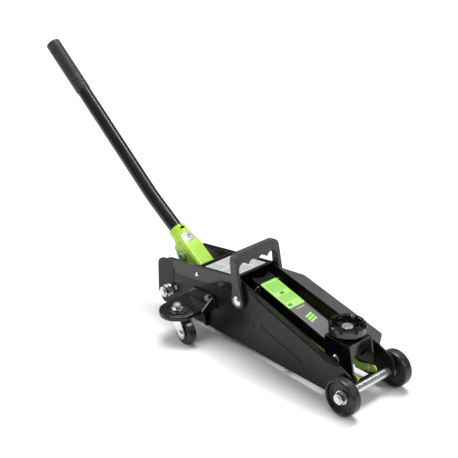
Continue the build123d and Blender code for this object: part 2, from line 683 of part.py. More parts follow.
def oil_plugs():
    """Rubber-sealed filler plug in the tank and a hexagon plug in the pump body."""
    filler = rod_z(FILLER_X, 0, (66, 71), 4.0) + rod_z(FILLER_X, 0, (70.6, 74), 6.0)
    x, y = BLOCK_PLUG
    return Compound([filler, rod_z(x, y, (52, 59), 4.0) + hex_z(x, y, (58.2, 62.5), 11.0)])


def ram():
    """Piston rod with its piston and a round pusher face."""
    rod = rod_x((-354, RAM_HEAD_X - 6), 0, RAM_Z, RAM_R)
    piston = rod_x((-361, -353), 0, RAM_Z, 12.0)
    head = chamfer(rod_x((RAM_HEAD_X - 8, RAM_HEAD_X), 0, RAM_Z, 13.5)
                   .edges().filter_by(GeomType.CIRCLE), 1.0)
    return rod + piston + head


def plunger():
    rod = rod_z(PLUNGER_X, 0, (54, PLUNGER_TOP - 2), PLUNGER_R)
    cap = rod_z(PLUNGER_X, 0, (PLUNGER_TOP - 3.4, PLUNGER_TOP), 10.0)
    return rod + fillet(cap.edges().filter_by(GeomType.CIRCLE).sort_by(Axis.Z)[-1], 1.4)


def plunger_spring():
    return spring_z(PLUNGER_X, 0, (61.1, PLUNGER_TOP - 3.5), 8.0, 1.1, 5)


def release_valve():
    """Turning valve stem behind the pump body."""
    stem = rod_x((-406.0, -393), -15, 26, 5.0) + rod_x((-412, -405.4), -15, 26, 6.5)
    return stem - block((-413, -408), (-16.2, -13.8), (15, 40))


# ---------------------------------------------------------------- socket and handle
def on_socket(s, up=0.0):
    """Point at distance s down the socket axis from the collar, and up from the axis."""
    a = radians(SOCKET_ANGLE)
    return (SOCKET_COLLAR[0] + s * cos(a) + up * sin(a), SOCKET_COLLAR[1] - s * sin(a) + up * cos(a))


def socket_plane(s):
    a = radians(SOCKET_ANGLE)
    x, z = on_socket(s)
    return Plane(origin=(x, 0, z), x_dir=(0, 1, 0), z_dir=(cos(a), 0, -sin(a)))


def handle_socket():
    """Socket: split collar, body that widens into two cheeks, open below."""
    collar = extrude(socket_plane(0) * Circle(COLLAR_R), 14)
    neck = loft([socket_plane(10) * Circle(COLLAR_R),
                 socket_plane(38) * RectangleRounded(2 * CHEEK_Y[1], 27, 6)])
    hood = extrude(socket_plane(38) * RectangleRounded(2 * CHEEK_Y[1], 27, 6), 46)
    px, pz = SOCKET_PIVOT
    cheek = side_sheet([on_socket(24, 4), on_socket(80, 4), on_socket(84, -8), (px + 9, pz - 11.5),
                        (px - 11, pz - 9, 6), on_socket(24, -12)], (-CHEEK_Y[1], CHEEK_Y[1]))
    cheek = cheek + rod_y(px, (-CHEEK_Y[1], CHEEK_Y[1]), pz, 12)
    socket = collar + neck + hood + cheek
    inside = side_sheet([on_socket(45, 9.6), on_socket(90, 9.6), on_socket(90, -40),
                         on_socket(30, -50), on_socket(30, -14)], (-CHEEK_Y[0], CHEEK_Y[0]))
    bore = extrude(socket_plane(-2) * Circle(BAR_R + 0.08), 36)
    under = side_sheet([on_socket(56, -30), on_socket(61, -8), on_socket(90, -1), on_socket(90, -30)],
                       (-30, 30))
    socket = socket - inside - bore - under - rod_y(px, (-30, 30), pz, 5.0 + RUN)
    rx, rz = roller_centre()
    socket = socket - rod_y(rx, (-30, 30), rz, 3.05) - rod_y(rx, (-11.8, 11.8), rz, 5.6)
    slot = [on_socket(-2, 20), on_socket(9, 20), on_socket(9, 5), on_socket(-2, 5)]
    cross = [on_socket(6, 20), on_socket(10.5, 20), on_socket(10.5, 5), on_socket(6, 5)]
    return socket - side_sheet(slot, (-1.5, 1.5)) - side_sheet(cross, (-5, 5))


def roller_centre():
    return (SOCKET_PIVOT[0] + 34, SOCKET_PIVOT[1] - 4)


def socket_roller():
    x, z = roller_centre()
    return ring_y(x, (-11, 11), z, 5.0, 3.0 + RUN)


def socket_roller_pin():
    x, z = roller_centre()
    return rod_y(x, (-CHEEK_Y[1], CHEEK_Y[1]), z, 3.0)


def socket_pivot_bolt():
    x, z = SOCKET_PIVOT
    bolt = rod_y(x, (-CHEEK_Y[1] - 0.3, 26), z, 5.0)
    head = other_side(hex_y(x, (CHEEK_Y[1] + 0.3, CHEEK_Y[1] + 5.2), z, 13.0))
    nut = hex_y(x, (CHEEK_Y[1] + 0.3, CHEEK_Y[1] + 6.2), z, 13.0)
    return bolt + head + nut


def handle_path(end_cut=0.0):
    """Centre line of the bar from inside the socket to the grip end."""
    foot, bend = on_socket(28), BAR_BEND
    run = hypot(BAR_END[0] - bend[0], BAR_END[1] - bend[1])
    k = (run - end_cut) / run
    tip = (bend[0] + k * (BAR_END[0] - bend[0]), bend[1] + k * (BAR_END[1] - bend[1]))
    return FilletPolyline((foot[0], 0, foot[1]), (bend[0], 0, bend[1]), (tip[0], 0, tip[1]),
                          radius=120)


def handle_bar():
    path = handle_path(2.0)
    start = Plane(origin=path @ 0, z_dir=path % 0)
    return sweep(start * Circle(BAR_R), path) - sweep(start * Circle(BAR_R - 2), path)


def grip_plane(back):
    """Plane across the bar, a distance back from its free end."""
    dx, dz = BAR_END[0] - BAR_BEND[0], BAR_END[1] - BAR_BEND[1]
    run = hypot(dx, dz)
    u = (dx / run, dz / run)
    return Plane(origin=(BAR_END[0] - back * u[0], 0, BAR_END[1] - back * u[1]),
                 x_dir=(0, 1, 0), z_dir=(-u[0], 0, -u[1]))


def handle_grip():
    """Rubber sleeve with end rings and shallow ribs."""
    sleeve = extrude(grip_plane(0) * Circle(GRIP_R), GRIP_LEN)
    sleeve = fillet(sleeve.edges().filter_by(GeomType.CIRCLE), 2.0)
    for back in (GRIP_LEN - 6, GRIP_LEN - 14, GRIP_LEN - 22):
        ring = grip_plane(back) * (Circle(GRIP_R + 3) - Circle(GRIP_R - 0.8))
        sleeve = sleeve - extrude(ring, 2.2)
    for i in range(18):
        ring = grip_plane(14 + 3.6 * i) * (Circle(GRIP_R + 3) - Circle(GRIP_R - 0.5))
        sleeve = sleeve - extrude(ring, 1.4)
    return sleeve - extrude(grip_plane(1.9) * Circle(BAR_R + 0.02), GRIP_LEN + 5)


# ---------------------------------------------------------------- carry handle
def carry_handle():
    """Plastic bail with four finger scallops, turning on two bosses."""
    h, y0, y1 = CARRY_HEIGHT, CARRY_IN_Y, CARRY_OUT_Y
    shape = outline([(-y1, 0), (-y1 - 1.5, 40, 30), (-y1 - 1.0, h, 15), (y1 + 1.0, h, 15),
                     (y1 + 1.5, 40, 30), (y1, 0)])
    grip_z = h - 30
    shape = shape - Pos(0, (grip_z - 4) / 2) * Rectangle(2 * y0, grip_z + 4)
    for y in (-31.2, -10.4, 10.4, 31.2):
        shape = shape - Pos(y, grip_z) * Circle(11.6)
    frame = extrude(Plane.YZ * shape, 12.0, both=True)
    side = [(-8.5, -2), (-6.5, 30), (-5.8, h, 3), (5.4, h, 3), (7.4, 42), (11.8, 8), (11.8, -2)]
    frame = frame & side_sheet(side, (-70, 70))
    foot = side_sheet([(-12, 0), (-6.0, 34), (7.2, 34), (12, 0)], (y0, y1))
    boss = rod_y(0, (y0 - 0.1, y1 + 0.3), 0, 13)
    boss = fillet(boss.edges().filter_by(GeomType.CIRCLE).sort_by(Axis.Y)[-1], 1.2)
    ends = foot + boss
    bail = frame + ends + other_side(ends)
    bail = bail - rod_y(0, (-80, 80), 0, 5.0 + RUN)
    recess = rod_y(0, (y1 - 1.0, y1 + 5), 0, 9.6)
    bail = bail - recess - other_side(recess)
    return Pos(ARM_PIVOT[0], 0, ARM_PIVOT[1]) * Rot(0, -CARRY_LEAN, 0) * bail


def carry_bolts():
    """Shouldered bolts that screw into the ends of the main shaft."""
    x, z = ARM_PIVOT
    shoulder = rod_y(x, (PLATE_Y + 0.2, CARRY_OUT_Y), z, 5.0) + rod_y(x, (28, PLATE_Y + 1), z, 3.0)
    return both_sides(shoulder + dome_y(x, CARRY_OUT_Y - 0.8, z, 8.7, 4.4))


def carry_washers():
    x, z = ARM_PIVOT
    return both_sides(ring_y(x, (PLATE_Y + 0.7, CARRY_IN_Y - 0.3), z, 11.0, 5.3))


# ---------------------------------------------------------------- all parts
def all_parts():
    parts = {
        "side_plate_left": side_plate(),
        "rear_cover": rear_cover(),
        "cover_screws": cover_screws(),
        "front_axle": front_axle(),
        "cross_tubes": cross_tubes(),
        "rear_tie_rod": rear_tie_rod(),
        "tie_rod_nuts": tie_rod_nuts(),
        "front_wheel_left": front_wheel(),
        "wheel_nuts": wheel_nuts(),
        "caster_plate_right": caster_plate(),
        "caster_bolts": caster_bolts(),
        "caster_kingpins": both_sides(caster_kingpin()),
        "caster_nuts": caster_nuts(),
        "caster_fork_right": caster_fork(),
        "caster_rivet_right": caster_rivet(),
        "caster_wheel_right": caster_wheel(),
        "lift_arm": lift_arm(),
        "arm_pivot_tube": arm_pivot_tube(),
        "arm_shaft": arm_shaft(),
        "shaft_collars": shaft_collars(),
        "arm_springs": arm_springs(),
        "lug_pin": lug_pin(),
        "lug_roller": lug_roller(),
        "link_bar_left": link_bar(),
        "link_studs": link_studs(),
        "saddle_bracket": saddle_bracket(),
        "bracket_pin": bracket_pin(),
        "pin_clip": pin_clip(),
        "bracket_studs": bracket_studs(),
        "saddle": saddle(),
        "saddle_bolt": saddle_bolt(),
        "saddle_nut": saddle_nut(),
        "pump_block": pump_block(),
        "side_bolts": side_bolts(),
        "cylinder_tube": cylinder_tube(),
        "cylinder_gland": cylinder_gland(),
        "oil_tank": tank(),
        "oil_plugs": oil_plugs(),
        "ram": ram(),
        "plunger": plunger(),
        "plunger_spring": plunger_spring(),
        "release_valve": release_valve(),
        "handle_socket": handle_socket(),
        "socket_roller": socket_roller(),
        "socket_roller_pin": socket_roller_pin(),
        "socket_pivot_bolt": socket_pivot_bolt(),
        "handle_bar": handle_bar(),
        "handle_grip": handle_grip(),
        "carry_handle": carry_handle(),
        "carry_bolts": carry_bolts(),
        "carry_washers": carry_washers(),
    }
    for name in ("side_plate", "front_wheel", "link_bar"):
        parts[name + "_right"] = other_side(parts[name + "_left"])
    for name in ("caster_plate", "caster_fork", "caster_rivet", "caster_wheel"):
        parts[name + "_left"] = other_side(parts[name + "_right"])
    return parts


os.makedirs("parts", exist_ok=True)
for name, part in all_parts().items():
    export_step(Pos(ORIGIN_X, 0, 0) * part, f"parts/{name}.step")
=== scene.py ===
"""Looks of the trolley jack: finishes for the CAD parts, labels, threads, light and camera.

Lengths in metres in the row frame: +X towards the front axle, +Y to the left side, +Z up.
"""
import json
from math import cos, pi, radians, sin

import bmesh
import bpy
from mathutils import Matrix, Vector
from mathutils.bvhtree import BVHTree


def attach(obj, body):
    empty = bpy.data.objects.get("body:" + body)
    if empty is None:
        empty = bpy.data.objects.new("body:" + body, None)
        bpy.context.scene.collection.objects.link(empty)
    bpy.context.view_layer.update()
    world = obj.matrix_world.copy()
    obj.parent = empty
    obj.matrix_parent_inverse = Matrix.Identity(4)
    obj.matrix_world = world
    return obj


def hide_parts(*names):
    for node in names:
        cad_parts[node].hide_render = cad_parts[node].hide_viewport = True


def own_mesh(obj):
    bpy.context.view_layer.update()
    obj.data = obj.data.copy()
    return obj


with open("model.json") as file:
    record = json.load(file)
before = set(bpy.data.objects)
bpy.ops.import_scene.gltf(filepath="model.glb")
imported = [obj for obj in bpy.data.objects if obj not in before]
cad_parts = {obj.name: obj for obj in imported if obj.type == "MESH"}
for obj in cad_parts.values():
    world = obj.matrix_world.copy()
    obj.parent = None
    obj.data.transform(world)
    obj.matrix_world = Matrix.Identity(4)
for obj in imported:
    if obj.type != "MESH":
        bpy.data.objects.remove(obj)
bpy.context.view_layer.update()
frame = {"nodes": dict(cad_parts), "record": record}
NODES = frame["nodes"]

MM = 0.001

# Camera
CAMERA_AT = (1.35075, -1.1991, 1.0242)
CAMERA_LOOKS = (-0.6584, 0.6147, -0.4344)
CAMERA_LENS = 94.32

# Colours, linear
BLACK = (0.0055, 0.0055, 0.006)
PLATE_BLACK = (0.0090, 0.0080, 0.0072)
BAR_BLACK = (0.0085, 0.0088, 0.0095)
LIME = (0.42, 0.72, 0.06)
LABEL_GREEN = (0.30, 0.66, 0.09)
LABEL_GREY = (0.085, 0.080, 0.088)
ZINC = (0.74, 0.75, 0.77)
DUST = (0.34, 0.33, 0.31)
BARE_EDGE = (0.30, 0.29, 0.28)
GRIME = (0.20, 0.19, 0.17)
PRINT_INK = (0.04, 0.04, 0.045)

# Surface sizes
THREAD_PITCH = 1.75 * MM
THREAD_DEPTH = 0.45 * MM

# Labels
ARM_SLOPE = radians(14.74)
ARM_LABEL_AT = (228.6 * MM, 0.0, 100.0 * MM)
ARM_LABEL_SIZE = (146.0 * MM, 35.2 * MM)
GREEN_SHARE = 0.464         # share of the arm label's length that is green
COVER_SLOPE = 0.1645
COVER_LABEL_AT = (82.3 * MM, 0.0, 118.0 * MM)
COVER_LABEL_SIZE = (80.0 * MM, 69.0 * MM)
SOCKET_ANGLE = radians(33.0)
SOCKET_COLLAR = (-64.85 * MM, 0.0, 131.0 * MM)
SOCKET_LABEL_DOWN = 27.5 * MM
SOCKET_LABEL_ASIDE = -1.5 * MM
SOCKET_LABEL_SIZE = (15.0 * MM, 24.0 * MM)

# Light
SUN_POWER = 2.3
SUN_SPREAD = radians(35)
SUN_SHINES = (0.22, -0.20, -0.9)
SKY = 0.50                  # fill light from all round
SKY_MIRRORED = 0.16         # what glossy paint and zinc mirror between the lamps
FLOOR_REACH = 8.0
LAMPS = (                   # name, place, aim, size, power
    ("key", (0.2, 0.9, 1.9), (0.0, 0.0, 0.1), (0.7, 0.35), 14.0),
    ("side", (-1.4, -1.0, 1.3), (0.0, 0.0, 0.1), (0.5, 0.9), 10.0),
    ("front", (1.9, 0.5, 1.2), (0.1, 0.0, 0.05), (0.4, 0.9), 9.0),
)


# ---------------------------------------------------------------- shader helpers
class Shader:
    """One material and short calls for its nodes."""

    def __init__(self, name):
        self.mat = bpy.data.materials.new(name)
        self.mat.use_nodes = True
        self.tree = self.mat.node_tree
        self.tree.nodes.clear()
        self.out = self.node("ShaderNodeOutputMaterial")
        self.bsdf = self.node("ShaderNodeBsdfPrincipled")
        self.link(self.bsdf.outputs[0], self.out.inputs["Surface"])
        self.place = self.node("ShaderNodeTexCoord").outputs["Object"]

    def node(self, kind, **values):
        made = self.tree.nodes.new(kind)
        for key, value in values.items():
            setattr(made, key, value)
        return made

    def link(self, source, target):
        self.tree.links.new(source, target)

    def feed(self, socket, value):
        """Puts a constant or another node's output into a socket."""
        if isinstance(value, bpy.types.NodeSocket):
            self.link(value, socket)
        elif isinstance(value, tuple) and socket.type == "RGBA":
            socket.default_value = (*value, 1.0)
        else:
            socket.default_value = value

    def set(self, **values):
        for key, value in values.items():
            self.feed(self.bsdf.inputs[key.replace("_", " ")], value)

    def stretched(self, scale):
        made = self.node("ShaderNodeMapping")
        self.link(self.place, made.inputs["Vector"])
        made.inputs["Scale"].default_value = scale
        return made.outputs[0]

    def noise(self, scale, detail=3.0, rough=0.5, at=None):
        made = self.node("ShaderNodeTexNoise")
        self.link(self.place if at is None else at, made.inputs["Vector"])
        self.feed(made.inputs["Scale"], scale)
        self.feed(made.inputs["Detail"], detail)
        self.feed(made.inputs["Roughness"], rough)
        return made.outputs["Fac"]

    def ramp(self, fac, low, high, at=(0.35, 0.65)):
        """Value that runs from low to high while fac runs between two limits."""
        made = self.node("ShaderNodeMapRange", clamp=True)
        for key, value in zip(("Value", "From Min", "From Max", "To Min", "To Max"),
                              (fac, at[0], at[1], low, high)):
            self.feed(made.inputs[key], value)
        return made.outputs[0]

    def mix(self, fac, a, b):
        made = self.node("ShaderNodeMix", data_type="RGBA")
        self.feed(made.inputs["Factor"], fac)
        self.feed(made.inputs[6], a)
        self.feed(made.inputs[7], b)
        return made.outputs[2]

    def math(self, how, a, b=0.5, c=0.5):
        made = self.node("ShaderNodeMath", operation=how)
        for i, value in enumerate((a, b, c)):
            self.feed(made.inputs[i], value)
        return made.outputs[0]

    def axis(self, name):
        made = self.node("ShaderNodeSeparateXYZ")
        self.link(self.place, made.inputs[0])
        return made.outputs[name]

    def upward(self, low=0.35, high=0.95):
        """1 on faces that look up, 0 on walls."""
        normal = self.node("ShaderNodeNewGeometry").outputs["Normal"]
        made = self.node("ShaderNodeSeparateXYZ")
        self.link(normal, made.inputs[0])
        return self.ramp(made.outputs["Z"], 0.0, 1.0, (low, high))

    def edge(self, radius=0.9 * MM):
        """1 on worn outer edges, from the gap between the true and the rounded normal."""
        bevel = self.node("ShaderNodeBevel", samples=4)
        self.feed(bevel.inputs["Radius"], radius)
        true = self.node("ShaderNodeNewGeometry").outputs["True Normal"]
        dot = self.node("ShaderNodeVectorMath", operation="DOT_PRODUCT")
        self.link(bevel.outputs[0], dot.inputs[0])
        self.link(true, dot.inputs[1])
        return self.ramp(dot.outputs["Value"], 1.0, 0.0, (0.80, 0.985))

    def ao_shade_mask(self, reach=5 * MM):
        """Ambient-occlusion mask for painted shade: 0 deep in gaps and inner corners, 1 in the open.
        """
        made = self.node("ShaderNodeAmbientOcclusion", samples=6)
        self.feed(made.inputs["Distance"], reach)
        return self.ramp(made.outputs["AO"], 0.0, 1.0, (0.35, 0.85))

    def bump(self, *layers, round_edge=0.35 * MM):
        """Bump layers of (height, strength, distance) over softly rounded edges."""
        bevel = self.node("ShaderNodeBevel", samples=4)
        self.feed(bevel.inputs["Radius"], round_edge)
        normal = bevel.outputs[0]
        for height, strength, distance in layers:
            made = self.node("ShaderNodeBump")
            self.feed(made.inputs["Strength"], strength)
            self.feed(made.inputs["Distance"], distance)
            self.feed(made.inputs["Height"], height)
            self.link(normal, made.inputs["Normal"])
            normal = made.outputs[0]
        self.link(normal, self.bsdf.inputs["Normal"])


def gloss_paint(name, colour, rough=(0.10, 0.22), wear=0.5, dust=0.10, shine=0.4, coat=0.15):
    """Baked enamel: orange peel, haze, fine scratches, thin dust, worn edges and painted shade in
    gaps.
    """
    s = Shader(name)
    haze = s.noise(38.0, 4.0, 0.6)
    peel = s.noise(520.0, 2.0)
    grit = s.noise(2600.0, 2.0)
    scratch = s.noise(90.0, 5.0, 0.75, s.stretched((1.0, 6.0, 9.0)))
    worn = s.math("MULTIPLY", s.edge(), s.ramp(s.noise(75.0, 4.0, 0.7), 0.0, wear, (0.56, 0.68)))
    dusty = s.math("MULTIPLY", s.upward(), s.ramp(haze, 0.3 * dust, dust, (0.35, 0.7)))
    shade = s.mix(s.ramp(s.noise(14.0), 0.0, 1.0), tuple(0.86 * c for c in colour), colour)
    shade = s.mix(dusty, shade, DUST)
    shade = s.mix(worn, shade, BARE_EDGE)
    matt = s.ramp(haze, rough[0], rough[1])
    matt = s.math("ADD", matt, s.ramp(scratch, 0.0, 0.10, (0.60, 0.72)))
    matt = s.math("ADD", matt, s.math("MULTIPLY", dusty, 1.2))
    # painted shade: ambient occlusion darkens the colour to a quarter and lowers the specular level
    # and the coat in gaps and inner corners
    ao_unshaded = s.ao_shade_mask()
    shade = s.mix(ao_unshaded, tuple(0.25 * c for c in colour), shade)
    s.set(Base_Color=shade, Roughness=matt,
          Specular_IOR_Level=s.ramp(ao_unshaded, 0.2 * shine, shine, (0, 1)),
          Coat_Weight=s.math("MULTIPLY", ao_unshaded, coat), Coat_Roughness=0.06)
    s.bump((peel, 0.10, 0.25 * MM), (grit, 0.05, 0.05 * MM))
    return s.mat


def plated(name, colour=ZINC, rough=(0.22, 0.38), thread_from=None, grain=0.12):
    """Bright zinc: mottled plating, fine turning lines and, past a Y limit, a screw thread."""
    s = Shader(name)
    mottle = s.noise(160.0, 4.0, 0.65)
    lines = s.noise(60.0, 3.0, 0.5, s.stretched((1.0, 45.0, 1.0)))
    tint = s.mix(s.ramp(s.noise(45.0), 0.0, 1.0), colour, tuple(c * t for c, t in
                                                                zip(colour, (0.90, 0.93, 0.97))))
    grime = s.ramp(s.noise(110.0, 5.0, 0.7), 0.0, 0.55, (0.60, 0.78))
    s.set(Base_Color=s.mix(grime, tint, GRIME), Metallic=1.0,
          Roughness=s.ramp(mottle, rough[0], rough[1]))
    layers = [(lines, grain, 0.05 * MM), (mottle, 0.10, 0.08 * MM)]
    if thread_from is not None:
        turns = s.math("SINE", s.math("MULTIPLY", s.axis("Y"), 2 * pi / THREAD_PITCH))
        far = s.ramp(s.math("ABSOLUTE", s.axis("Y")), 0.0, 1.0,
                     (thread_from - 0.1 * MM, thread_from + 0.1 * MM))
        layers.append((s.math("MULTIPLY", turns, far), 0.9, THREAD_DEPTH))
    s.bump(*layers, round_edge=0.3 * MM)
    return s.mat


def stud_thread(name):
    """Zinc stud standing on Z with a thread all the way."""
    s = Shader(name)
    mottle = s.noise(160.0, 4.0, 0.65)
    turns = s.math("SINE", s.math("MULTIPLY", s.axis("Z"), 2 * pi / THREAD_PITCH))
    s.set(Base_Color=s.mix(s.ramp(mottle, 0.0, 1.0), ZINC, (0.60, 0.60, 0.60)), Metallic=1.0,
          Roughness=s.ramp(mottle, 0.24, 0.40))
    s.bump((turns, 0.9, THREAD_DEPTH))
    return s.mat


def casting(name, colour=BLACK, rough=(0.24, 0.46)):
    """Painted casting: sandy skin under a gloss coat."""
    s = Shader(name)
    sand = s.noise(900.0, 4.0, 0.6)
    lumps = s.noise(140.0, 3.0)
    worn = s.math("MULTIPLY", s.edge(), s.ramp(s.noise(120.0, 4.0, 0.7), 0.0, 0.6, (0.55, 0.68)))
    shade = s.mix(worn, s.mix(s.ramp(lumps, 0.0, 1.0), colour, tuple(1.5 * c for c in colour)),
                  (0.26, 0.26, 0.26))
    s.set(Base_Color=shade, Roughness=s.ramp(lumps, rough[0], rough[1]), Coat_Weight=0.4,
          Coat_Roughness=0.15)
    s.bump((lumps, 0.25, 0.5 * MM), (sand, 0.22, 0.18 * MM))
    return s.mat


def moulded(name, colour, rough, grain=0.2, dust=0.06, sheen=0.0):
    """Moulded plastic or rubber: fine grain, scuffs and a little dust in the texture."""
    s = Shader(name)
    fine = s.noise(1500.0, 3.0, 0.6)
    cloud = s.noise(55.0, 4.0, 0.6)
    scuff = s.ramp(s.noise(130.0, 6.0, 0.8, s.stretched((1.0, 3.0, 1.0))), 0.0, 0.35, (0.62, 0.76))
    light = tuple(min(1.0, 2.4 * c + 0.02) for c in colour)
    shade = s.mix(scuff, s.mix(s.ramp(cloud, 0.0, 1.0), colour, tuple(1.3 * c for c in colour)), light)
    shade = s.mix(s.math("MULTIPLY", s.upward(), s.ramp(cloud, 0.0, dust)), shade, (0.30, 0.29, 0.27))
    s.set(Base_Color=shade, Roughness=s.ramp(cloud, rough[0], rough[1]), Sheen_Weight=sheen)
    s.bump((fine, grain, 0.12 * MM), (scuff, 0.06, 0.05 * MM))
    return s.mat


def ground_steel(name):
    """Ground and polished rod."""
    s = Shader(name)
    lines = s.noise(300.0, 3.0, 0.5, s.stretched((30.0, 1.0, 1.0)))
    s.set(Base_Color=s.mix(s.ramp(s.noise(60.0), 0.0, 1.0), (0.80, 0.80, 0.81), (0.70, 0.70, 0.72)),
          Metallic=1.0, Roughness=s.ramp(lines, 0.08, 0.2))
    s.bump((lines, 0.08, 0.03 * MM))
    return s.mat


def wheel_plastic(name):
    """Nylon wheel: fine grain, cloudy tone, scuffs and dust on faces that look up."""
    s = Shader(name)
    fine = s.noise(1300.0, 3.0, 0.6)
    cloud = s.noise(70.0, 4.0, 0.65)
    tread = s.noise(240.0, 5.0, 0.75)
    scuff = s.ramp(tread, 0.0, 0.5, (0.60, 0.74))
    shade = s.mix(s.ramp(cloud, 0.0, 1.0), (0.007, 0.007, 0.0075), (0.012, 0.012, 0.012))
    shade = s.mix(scuff, shade, (0.030, 0.029, 0.028))
    dusty = s.math("MULTIPLY", s.upward(0.2), s.ramp(cloud, 0.02, 0.10))
    shade = s.mix(dusty, shade, (0.3, 0.29, 0.27))
    s.set(Base_Color=shade, Roughness=s.ramp(cloud, 0.24, 0.36), Specular_IOR_Level=0.35,
          Coat_Weight=0.1)
    s.bump((fine, 0.12, 0.1 * MM), (scuff, 0.15, 0.08 * MM), round_edge=0.5 * MM)
    return s.mat


# ---------------------------------------------------------------- label shaders
def label_axes(s):
    """Label coordinates: U along the label, V across it, both from 0 to 1."""
    made = s.node("ShaderNodeSeparateXYZ")
    s.link(s.node("ShaderNodeUVMap", uv_map="label").outputs[0], made.inputs[0])
    return made.outputs["X"], made.outputs["Y"]


def band(s, value, low, high, soft=0.004):
    """1 between two limits."""
    up = s.ramp(value, 0.0, 1.0, (low - soft, low + soft))
    return s.math("MULTIPLY", up, s.ramp(value, 1.0, 0.0, (high - soft, high + soft)))


def both(s, a, b):
    """1 where both masks are 1."""
    return s.math("MULTIPLY", a, b)


def either(s, *masks):
    """1 where any mask is 1."""
    total = masks[0]
    for mask in masks[1:]:
        total = s.math("MAXIMUM", total, mask)
    return total


def rows(s, value, count, share):
    """Ruled lines: count of them, each a share of its pitch wide."""
    return s.ramp(s.math("FRACT", s.math("MULTIPLY", value, float(count))), 1.0, 0.0,
                  (share - 0.06, share + 0.06))


def print_finish(s, shade, rough):
    """Printed film: slight cockle and rubbed spots."""
    film = s.noise(60.0, 3.0)
    rub = s.ramp(s.noise(260.0, 5.0, 0.75), 0.0, 0.30, (0.62, 0.78))
    s.set(Base_Color=s.mix(rub, shade, s.mix(0.6, shade, (0.55, 0.55, 0.55))),
          Roughness=s.ramp(film, rough[0], rough[1]))
    s.bump((film, 0.10, 0.3 * MM), (s.noise(900.0), 0.04, 0.05 * MM), round_edge=0.1 * MM)
    return s.mat


# ---------------------------------------------------------------- label meshes
def tree_of(node):
    """Search tree of a CAD node's surface, for casting rays at it."""
    mesh = NODES[node].data
    return BVHTree.FromPolygons([v.co for v in mesh.vertices], [p.vertices for p in mesh.polygons])


def rounded(u, v, size, radius):
    """Pulls a point of the unit square inside a rectangle with round corners."""
    x, y = (u - 0.5) * size[0], (v - 0.5) * size[1]
    cx, cy = size[0] / 2 - radius, size[1] / 2 - radius
    if abs(x) > cx and abs(y) > cy:
        dx, dy = abs(x) - cx, abs(y) - cy
        # the square's corner block is squeezed onto a quarter disc
        reach = max(dx, dy) / max((dx * dx + dy * dy) ** 0.5, 1e-9)
        x = (cx + dx * reach) * (1 if x > 0 else -1)
        y = (cy + dy * reach) * (1 if y > 0 else -1)
    return x, y


def label(name, node, body, centre, along, across, size, steps, radius, mat, lift=0.12 * MM):
    """Thin printed film laid onto a CAD node by casting rays at it."""
    tree, centre = tree_of(node), Vector(centre)
    along, across = Vector(along).normalized(), Vector(across).normalized()
    down = -along.cross(across).normalized()
    mesh = bpy.data.meshes.new(name)
    bm = bmesh.new()
    uv_layer = bm.loops.layers.uv.new("label")
    grid, spots = [], {}
    for i in range(steps[0] + 1):
        line = []
        for j in range(steps[1] + 1):
            u, v = i / steps[0], j / steps[1]
            x, y = rounded(u, v, size, radius)
            start = centre + along * x + across * y - down * 60 * MM
            hit = tree.ray_cast(start, down)
            spot = hit[0] if hit[0] is not None else centre + along * x + across * y
            vert = bm.verts.new(spot - down * lift)
            spots[vert] = (x / size[0] + 0.5, y / size[1] + 0.5)
            line.append(vert)
        grid.append(line)
    for i in range(steps[0]):
        for j in range(steps[1]):
            face = bm.faces.new((grid[i][j], grid[i + 1][j], grid[i + 1][j + 1], grid[i][j + 1]))
            face.smooth = True
            for loop in face.loops:
                loop[uv_layer].uv = spots[loop.vert]
    bm.to_mesh(mesh)
    bm.free()
    mesh.materials.append(mat)
    piece = bpy.data.objects.new(name, mesh)
    bpy.context.scene.collection.objects.link(piece)
    solid = piece.modifiers.new("film", "SOLIDIFY")
    solid.thickness, solid.offset = 0.1 * MM, -1.0
    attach(piece, body)
    return piece


# ---------------------------------------------------------------- finishes for the CAD nodes
def finish_nodes():
    """Gives every CAD node the material of its slot, or its own where it needs one."""
    own = {
        "rear_tie_rod": plated("zinc_tie_rod", thread_from=41 * MM),
        "front_axle": plated("zinc_axle", (0.66, 0.67, 0.69), (0.26, 0.36), 62.6 * MM, 0.2),
        "caster_kingpins": stud_thread("zinc_kingpin"),
    }
    black = gloss_paint("enamel_black", BLACK, (0.07, 0.15), dust=0.025)
    plate = gloss_paint("enamel_plate", PLATE_BLACK, (0.24, 0.36), dust=0.02, shine=0.22, coat=0.05)
    for node in ("side_plate_left", "side_plate_right", "link_studs"):
        own[node] = plate
    looks = {
        "black_gloss_paint": black,
        "lime_paint": gloss_paint("enamel_lime", LIME, (0.14, 0.26), 0.35, 0.02, 0.5, 0.3),
        "bar_paint": gloss_paint("bar_enamel", BAR_BLACK, (0.22, 0.34), 0.4, 0.03, 0.35, 0.1),
        "zinc_plated": plated("zinc"),
        "cast_black": casting("casting_black", BLACK, (0.16, 0.30)),
        "wheel_black": wheel_plastic("wheel_nylon"),
        "handle_plastic": moulded("carry_plastic", (0.030, 0.031, 0.033), (0.34, 0.46), 0.25, 0.02),
        "grip_rubber": moulded("grip_rubber_skin", (0.013, 0.013, 0.014), (0.42, 0.56), 0.3, 0.05,
                               0.1),
        "plug_rubber": moulded("plug_rubber_skin", (0.02, 0.02, 0.02), (0.55, 0.7)),
        "polished_rod": ground_steel("ground_rod"),
        "spring_steel": plated("spring_wire", (0.62, 0.62, 0.63), (0.2, 0.34)),
    }
    slots = {part["node"]: part["material_slot"] for part in frame["record"]["subparts"]}
    for node, thing in NODES.items():
        for holder in thing.material_slots:
            holder.material = own.get(node, looks[slots[node]])


finish_nodes()


# ---------------------------------------------------------------- pump spring
def pump_spring():
    """Copy of the pump's return spring with its own mesh, fixed to the frame in place of the CAD node.
    """
    stiff = NODES["plunger_spring"]
    coil = bpy.data.objects.new("pump_spring", stiff.data.copy())
    bpy.context.scene.collection.objects.link(coil)
    coil.matrix_world = stiff.matrix_world
    coil.data.materials.clear()
    coil.data.materials.append(stiff.material_slots[0].material)
    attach(coil, "frame")
    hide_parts("plunger_spring")
    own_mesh(coil)


pump_spring()


